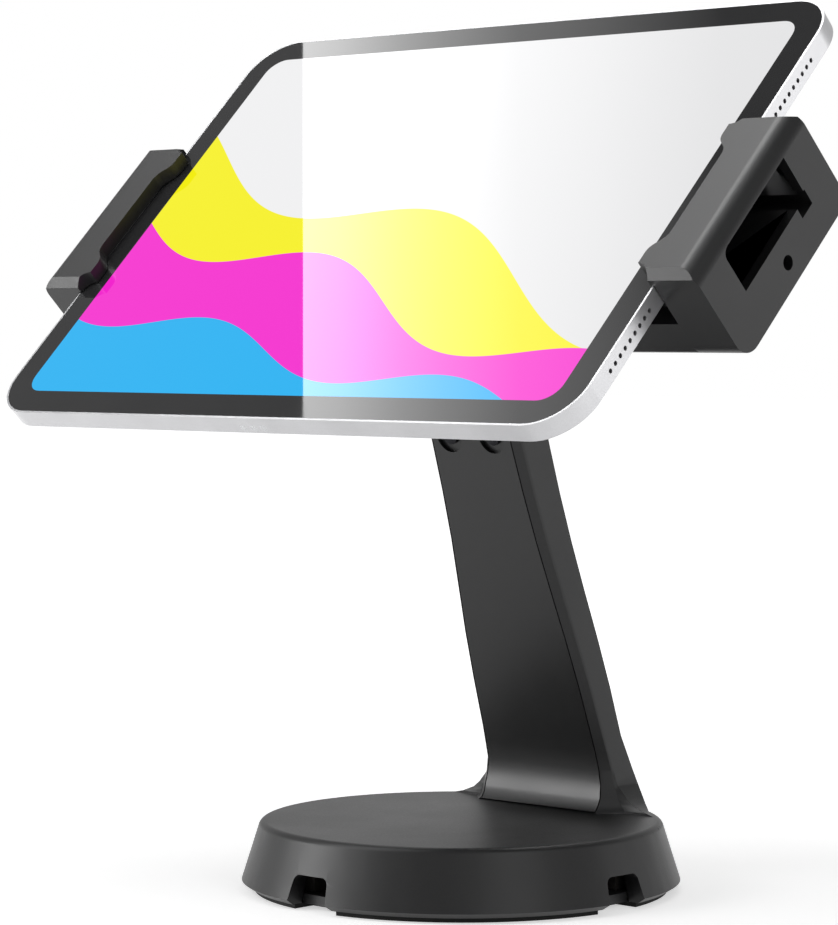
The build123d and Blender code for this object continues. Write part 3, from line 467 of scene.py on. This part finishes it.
# The heads of one node have flat tops at one level that are turned one way, but for this slack
LEVEL_SLACK = 0.05 * MM
TURN_SLACK = radians(2.0)


def cut_sockets(piece, way):
    """Cuts a hex socket into the middle of each screw head, whose top faces way."""
    tops = [face for face in piece.data.polygons if face.normal.angle(way) < TURN_SLACK]
    level = max(face.center.dot(way) for face in tops)
    heads = [face.center.copy() for face in tops if face.center.dot(way) > level - LEVEL_SLACK]
    turn = (-way).to_track_quat("Z", "Y").to_euler()
    cutters = []
    for head in heads:
        select_only()
        bpy.ops.mesh.primitive_cylinder_add(vertices=SOCKET_SIDES, radius=SOCKET,
                                            depth=2 * SOCKET_DEPTH, location=head, rotation=turn)
        cutters.append(bpy.context.object)
    select_only(*cutters)
    bpy.ops.object.join()
    cutter = bpy.context.object
    select_only(piece)
    apply_modifier(piece, "BOOLEAN", operation="DIFFERENCE", solver="EXACT", object=cutter)
    select_only(cutter)
    bpy.ops.object.delete()


class STAND_OT_base(bpy.types.Operator):
    """Finishes the round base, its weight, its plate, its foot mat and the screws in it"""
    bl_idname = "stand.base"
    bl_label = "Finish base"

    def execute(self, context):
        rounded_copy("base_cover", "base_shell", "stand", moulded_abs(), finish_values().edge)
        paint_nodes(("base_weight",), cast_iron())
        paint_nodes(("base_plate",), powder_coat())
        paint_nodes(("foot_mat",), rubber())
        paint_nodes(("base_screws", "arm_bolts"), zinc_plate())
        return {"FINISHED"}


# The arm's front cover leans forward at its top, so that its face points a little down
COVER_LEAN = radians(18.2)
COVER_FACE = Vector((0, -cos(COVER_LEAN), -sin(COVER_LEAN)))


class STAND_OT_arm(bpy.types.Operator):
    """Finishes the leaning arm, its front cover and the cover's screws"""
    bl_idname = "stand.arm"
    bl_label = "Finish arm"

    def execute(self, context):
        fine = finish_values().fine_edge
        rounded_copy("arm_body", "arm_shell", "stand", moulded_abs(), finish_values().edge)
        rounded_copy("arm_panel", "arm_front_cover", "stand", cover_abs(), fine)
        screws = rounded_copy("panel_screws", "cover_screws", "stand", black_oxide(), fine)
        cut_sockets(screws, COVER_FACE)
        return {"FINISHED"}


class STAND_OT_hinge(bpy.types.Operator):
    """Finishes the tilt hinge and the turntable"""
    bl_idname = "stand.hinge"
    bl_label = "Finish hinge"

    def execute(self, context):
        fine = finish_values().fine_edge
        rounded_copy("hinge_plugs", "hinge_caps", "stand", cover_abs(), fine)
        rounded_copy("yoke_casting", "tilt_yoke", "yoke", powder_coat(), fine)
        paint_nodes(("tilt_axle", "tilt_nut", "flange_screws"), zinc_plate())
        paint_nodes(("tilt_washers", "turntable_ring"), nylon())
        paint_nodes(("turntable_flange",), powder_coat())
        return {"FINISHED"}


# Screws whose heads stand on the cradle's back, each with its CAD node
CRADLE_SCREWS = (("shell_screws", "cradle_screws"), ("jaw_screws", "left_jaw_screws"),
                 ("block_screws", "nut_block_screws"))


class STAND_OT_cradle(bpy.types.Operator):
    """Finishes the cradle's shells, the screws in its back and the clamp's screw, collar and nut block"""
    bl_idname = "stand.cradle"
    bl_label = "Finish cradle"

    def execute(self, context):
        edge, fine = finish_values().edge, finish_values().fine_edge
        rounded_copy("cradle_front_shell", "cradle_front", "cradle", moulded_abs(), edge)
        rounded_copy("cradle_back_shell", "cradle_back", "cradle", moulded_abs(), edge)
        for name, node in CRADLE_SCREWS:
            screws = rounded_copy(name, node, "cradle", black_oxide(), fine)
            cut_sockets(screws, -OUT)
        paint_nodes(("clamp_nut_block", "clamp_collar"), brass())
        paint_nodes(("clamp_screw",), zinc_plate())
        return {"FINISHED"}


class STAND_OT_jaws(bpy.types.Operator):
    """Finishes the two jaws and their foam pads"""
    bl_idname = "stand.jaws"
    bl_label = "Finish jaws"

    def execute(self, context):
        edge = finish_values().edge
        rounded_copy("fixed_jaw", "left_jaw", "cradle", moulded_abs(), edge)
        rounded_copy("sliding_jaw_body", "right_jaw", "sliding_jaw", moulded_abs(), edge)
        paint_nodes(("left_back_pad", "right_back_pad"), foam())
        return {"FINISHED"}


def flat_sheet(name, wide, tall):
    """A flat sheet round the origin, as one face that points up."""
    select_only()
    bpy.ops.mesh.primitive_plane_add(size=1.0, location=(0, 0, 0))
    sheet = bpy.context.object
    sheet.name = name
    bpy.ops.transform.resize(value=(wide, tall, 1.0))
    bpy.ops.object.transform_apply(location=True, rotation=True, scale=True)
    return sheet


def make_glass():
    """The front glass: a thin rounded plate with a printed border round the picture."""
    glass = flat_sheet("tablet_front", GLASS_WIDE, GLASS_TALL)
    bpy.ops.object.mode_set(mode="EDIT")
    bpy.ops.mesh.select_all(action="SELECT")
    bpy.ops.mesh.bevel(offset=GLASS_CORNER, segments=GLASS_CORNER_STEPS, affect="VERTICES")
    bpy.ops.mesh.select_all(action="SELECT")
    bpy.ops.mesh.inset(thickness=BORDER, depth=0)
    bpy.ops.object.mode_set(mode="OBJECT")
    paint(glass, printed_border(), lit_screen())
    # The inset leaves its inner face selected, and that one is the picture
    for face in glass.data.polygons:
        face.material_index = 1 if face.select else 0
    bpy.ops.object.mode_set(mode="EDIT")
    bpy.ops.mesh.select_all(action="SELECT")
    bpy.ops.mesh.extrude_region_move(TRANSFORM_OT_translate={"value": (0, 0, -GLASS_THICK)})
    bpy.ops.mesh.select_all(action="SELECT")
    bpy.ops.mesh.normals_make_consistent(inside=False)
    bpy.ops.object.mode_set(mode="OBJECT")
    turn = Matrix((ACROSS, UP, OUT)).transposed().to_4x4()
    glass.matrix_world = Matrix.Translation(GLASS_MIDDLE) @ turn
    select_only(glass)
    bpy.ops.object.transform_apply(location=True, rotation=True, scale=True)
    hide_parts("tablet_glass")
    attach(glass, "tablet")


class STAND_OT_tablet(bpy.types.Operator):
    """Finishes the tablet: housing, printed and lit glass, lens, keys and inner parts"""
    bl_idname = "stand.tablet"
    bl_label = "Finish tablet"

    def execute(self, context):
        rounded_copy("tablet_body", "tablet_housing", "tablet", anodised(), finish_values().metal_edge)
        make_glass()
        paint_nodes(("tablet_display",), display_stack())
        paint_nodes(("power_button", "volume_up_button", "volume_down_button"), anodised())
        paint_nodes(("tablet_battery",), pouch_foil())
        paint_nodes(("tablet_board",), laminate())
        paint_nodes(("tablet_contacts",), contact_plate())
        paint_nodes(("tablet_camera_lens",), coated_lens())
        return {"FINISHED"}


# The camera at the photograph's angle. Its lens and sensor are in millimetres
CAMERA_PLACE = Vector((740.8, -796.7, 180.4)) * MM
CAMERA_AZIMUTH = radians(43.63)
CAMERA_ELEVATION = radians(2.28)
CAMERA_LENS = 131.83
CAMERA_SENSOR = 36.0
CAMERA_REACH = 20.0


def add_camera():
    """Stands the camera where the photograph was taken from."""
    data = bpy.data.cameras.new("camera")
    data.lens = CAMERA_LENS
    data.sensor_width = CAMERA_SENSOR
    data.clip_end = CAMERA_REACH
    camera = bpy.data.objects.new("camera", data)
    bpy.context.scene.collection.objects.link(camera)
    camera.location = CAMERA_PLACE
    camera.rotation_euler = Euler((pi / 2 - CAMERA_ELEVATION, 0, CAMERA_AZIMUTH))
    bpy.context.scene.camera = camera


def painted_tree(piece, name):
    """The empty tree of a new material that covers a stage piece."""
    material = bpy.data.materials.new(name)
    paint(piece, material)
    return emptied(material)


def gloss_only(card):
    """Shows a card to gloss alone, so that it lights nothing else."""
    card.visible_camera = False
    card.visible_diffuse = False
    card.visible_transmission = False
    card.visible_volume_scatter = False
    card.visible_shadow = False


# The lamps and cards face AIM. Softboxes, in metres and watts: name, place, width, height, power
AIM = Vector((0, 0, 0.15))
SOFTBOXES = (
    ("key_left", (-0.9, -1.3, 1.3), 1.2, 1.2, 14.0),
    ("fill_right", (1.6, -0.5, 0.9), 1.0, 1.4, 6.0),
    ("rim_back", (1.25, 1.3, 0.35), 0.6, 0.4, 1.2),
    ("top", (0, 0, 1.9), 1.4, 1.4, 8.0),
)


def add_softbox(name, place, wide, tall, power):
    """One large soft lamp that faces the object."""
    data = bpy.data.lights.new(name, "AREA")
    data.shape = "RECTANGLE"
    data.size = wide
    data.size_y = tall
    data.energy = power * finish_values().lamp
    lamp = bpy.data.objects.new(name, data)
    bpy.context.scene.collection.objects.link(lamp)
    lamp.location = place
    lamp.rotation_euler = (AIM - lamp.location).to_track_quat("-Z", "Y").to_euler()


# A low white card draws the highlight band on the satin plastic
STRIP_PLACE = Vector((-1.0, -1.05, 0.24))
STRIP_WIDE = 0.7
STRIP_TALL = 0.4
STRIP_STRENGTH = 12.0


def add_strip():
    """The low white card, as even as a lit sheet of paper."""
    card = flat_sheet("strip_left", STRIP_WIDE, STRIP_TALL)
    card.location = STRIP_PLACE
    card.rotation_euler = (AIM - STRIP_PLACE).to_track_quat("Z", "Y").to_euler()
    tree = painted_tree(card, "strip_left")
    glow = add_node(tree, "ShaderNodeEmission", {"Color": WHITE, "Strength": STRIP_STRENGTH})
    add_node(tree, "ShaderNodeOutputMaterial", {"Surface": glow.outputs["Emission"]})
    gloss_only(card)


# The glare card's near edge stands where the photograph's sharp glare starts on the glass, and its
# sides run along CARD_RIGHT and CARD_UP from there
CARD_EDGE = Vector((-0.8773, -0.1256, 1.034))
CARD_RIGHT = Vector((0.722, 0.0, 0.692))
CARD_UP = Vector((-0.028, 0.999, 0.029))
CARD_WIDE = 1.0
CARD_TALL = 1.7
CARD_BELOW = 0.6
CARD_STRENGTH = 13.0

# Places across the card in metres and the share of its full strength there: the glass mirrors
# the fade, and the jaws' satin fronts also catch the bright part past it
CARD_STOPS = ((0.0, 0.45), (0.024, 0.40), (0.066, 0.265), (0.093, 0.20), (0.144, 0.11), (0.198, 0.075),
              (0.234, 0.045), (0.28, 0.012), (0.38, 0.012), (0.45, 0.62))


def add_glare_card():
    """A white card that only gloss sees: it gives the glass its slanting glare."""
    card = flat_sheet("glare_card", CARD_WIDE, CARD_TALL)
    bpy.ops.transform.translate(value=(CARD_WIDE / 2, CARD_TALL / 2 - CARD_BELOW, 0))
    bpy.ops.object.transform_apply(location=True, rotation=True, scale=True)
    turn = Matrix((CARD_RIGHT, CARD_UP, CARD_RIGHT.cross(CARD_UP))).transposed().to_4x4()
    card.matrix_world = Matrix.Translation(CARD_EDGE) @ turn
    tree = painted_tree(card, "white_card")
    place = add_node(tree, "ShaderNodeTexCoord")
    sides = add_node(tree, "ShaderNodeSeparateXYZ", {"Vector": place.outputs["Object"]})
    level = add_node(tree, "ShaderNodeValToRGB", {"Fac": sides.outputs["X"]},
                     stops=[(at, (share, share, share, 1.0)) for at, share in CARD_STOPS])
    strength = add_node(tree, "ShaderNodeMath",
                        {0: level.outputs["Color"], 1: CARD_STRENGTH * finish_values().card},
                        operation="MULTIPLY")
    glow = add_node(tree, "ShaderNodeEmission", {"Color": WHITE, "Strength": strength.outputs[0]})
    add_node(tree, "ShaderNodeOutputMaterial", {"Surface": glow.outputs["Emission"]})
    gloss_only(card)


# The world is white to the camera, and dim on the object. Its gloss fades from the skyline's
# level to the top's, as a studio's pale walls under a dark ceiling do
WORLD_LIGHT = 0.18
SKYLINE_GLOSS = 0.85
TOP_GLOSS = 0.10


def light_world(scene):
    """A white studio that gives the object a dim even light."""
    scene.world = bpy.data.worlds.new("studio")
    tree = emptied(scene.world)
    path = add_node(tree, "ShaderNodeLightPath")
    clear = add_node(tree, "ShaderNodeMath", {0: path.outputs["Is Camera Ray"],
                                             1: path.outputs["Is Transmission Ray"]},
                     operation="MAXIMUM")
    place = add_node(tree, "ShaderNodeTexCoord")
    sides = add_node(tree, "ShaderNodeSeparateXYZ", {"Vector": place.outputs["Generated"]})
    height = add_node(tree, "ShaderNodeMath", {0: sides.outputs["Z"]}, operation="ABSOLUTE")
    sheen = add_node(tree, "ShaderNodeMapRange", {"Value": height.outputs[0], "To Min": SKYLINE_GLOSS,
                                                 "To Max": TOP_GLOSS})
    gloss = add_node(tree, "ShaderNodeMath", {0: sheen.outputs["Result"],
                                             1: path.outputs["Is Glossy Ray"]}, operation="MULTIPLY")
    rest = add_node(tree, "ShaderNodeMath", {0: WORLD_LIGHT, 1: gloss.outputs[0]}, operation="MAXIMUM")
    strength = add_node(tree, "ShaderNodeMath", {0: clear.outputs[0], 1: rest.outputs[0]},
                        operation="MAXIMUM")
    ground = add_node(tree, "ShaderNodeBackground", {"Color": WHITE, "Strength": strength.outputs[0]})
    add_node(tree, "ShaderNodeOutputWorld", {"Surface": ground.outputs["Background"]})


# The floor lies just under the foot mat. Its glow, which camera and gloss see, is white only from GLOW_FAR
# on and weaker nearer the object. This paints a soft grey shade round the object, where the object's shadow
# also stays
FLOOR_WIDE = 12.0
FLOOR_DROP = 0.02 * MM
FLOOR_PAPER = "#f4f4f4"
GLOW_NEAR = 0.15
GLOW_FAR = 0.75
NEAR_SHADE_LEVEL = 0.54
FAR_LEVEL = 1.0


# Matt white paper: it takes the soft shadow, with no gloss of its own, under a glow that paints soft shade
# round the object
def add_floor():
    """The pale floor, whose glow brightens away from the object and so paints a soft shade round it."""
    floor = flat_sheet("floor", FLOOR_WIDE, FLOOR_WIDE)
    floor.location = (0, 0, -FLOOR_DROP)
    tree = painted_tree(floor, "pale_floor")
    path = add_node(tree, "ShaderNodeLightPath")
    seen = add_node(tree, "ShaderNodeMath", {0: path.outputs["Is Camera Ray"],
                                            1: path.outputs["Is Glossy Ray"]}, operation="MAXIMUM")
    place = add_node(tree, "ShaderNodeTexCoord")
    away = add_node(tree, "ShaderNodeVectorMath", {0: place.outputs["Object"]}, operation="LENGTH")
    # The glow is lowest near the object: painted shade on the floor round it
    lift = add_node(tree, "ShaderNodeMapRange", {"Value": away.outputs["Value"],
                                                "From Min": GLOW_NEAR, "From Max": GLOW_FAR,
                                                "To Min": NEAR_SHADE_LEVEL, "To Max": FAR_LEVEL})
    soft = add_node(tree, "ShaderNodeBsdfDiffuse", {"Color": linear(FLOOR_PAPER)})
    glow = add_node(tree, "ShaderNodeEmission", {"Color": WHITE, "Strength": lift.outputs["Result"]})
    lifted = add_node(tree, "ShaderNodeAddShader", {0: soft.outputs["BSDF"],
                                                   1: glow.outputs["Emission"]})
    mixed = add_node(tree, "ShaderNodeMixShader", {0: seen.outputs[0], 1: soft.outputs["BSDF"],
                                                  2: lifted.outputs[0]})
    add_node(tree, "ShaderNodeOutputMaterial", {"Surface": mixed.outputs[0]})


class STAND_OT_stage(bpy.types.Operator):
    """Sets the world, the pale floor, the soft lamps, the cards and the camera"""
    bl_idname = "stand.stage"
    bl_label = "Set stage"

    def execute(self, context):
        context.scene.view_settings.view_transform = "Standard"
        light_world(context.scene)
        add_floor()
        for softbox in SOFTBOXES:
            add_softbox(*softbox)
        add_strip()
        add_glare_card()
        add_camera()
        return {"FINISHED"}


PIECES = (STAND_OT_base, STAND_OT_arm, STAND_OT_hinge, STAND_OT_cradle, STAND_OT_jaws,
          STAND_OT_tablet, STAND_OT_stage)


class STAND_PT_panel(bpy.types.Panel):
    """Lists the stand's sizes and colours and its pieces"""
    bl_idname = "STAND_PT_panel"
    bl_label = "Stand"
    bl_space_type = "VIEW_3D"
    bl_region_type = "UI"
    bl_category = "Stand"

    def draw(self, context):
        for name in StandFinish.__annotations__:
            self.layout.prop(context.scene.stand_finish, name)
        for piece in PIECES:
            self.layout.operator(piece.bl_idname)


CLASSES = (StandFinish,) + PIECES + (STAND_PT_panel,)


def register():
    for entry in CLASSES:
        bpy.utils.register_class(entry)
    bpy.types.Scene.stand_finish = bpy.props.PointerProperty(type=StandFinish)


def unregister():
    del bpy.types.Scene.stand_finish
    for entry in reversed(CLASSES):
        bpy.utils.unregister_class(entry)


def main():
    register()
    bpy.ops.stand.base()
    bpy.ops.stand.arm()
    bpy.ops.stand.hinge()
    bpy.ops.stand.cradle()
    bpy.ops.stand.jaws()
    bpy.ops.stand.tablet()
    bpy.ops.stand.stage()


if __name__ == "__main__":
    main()
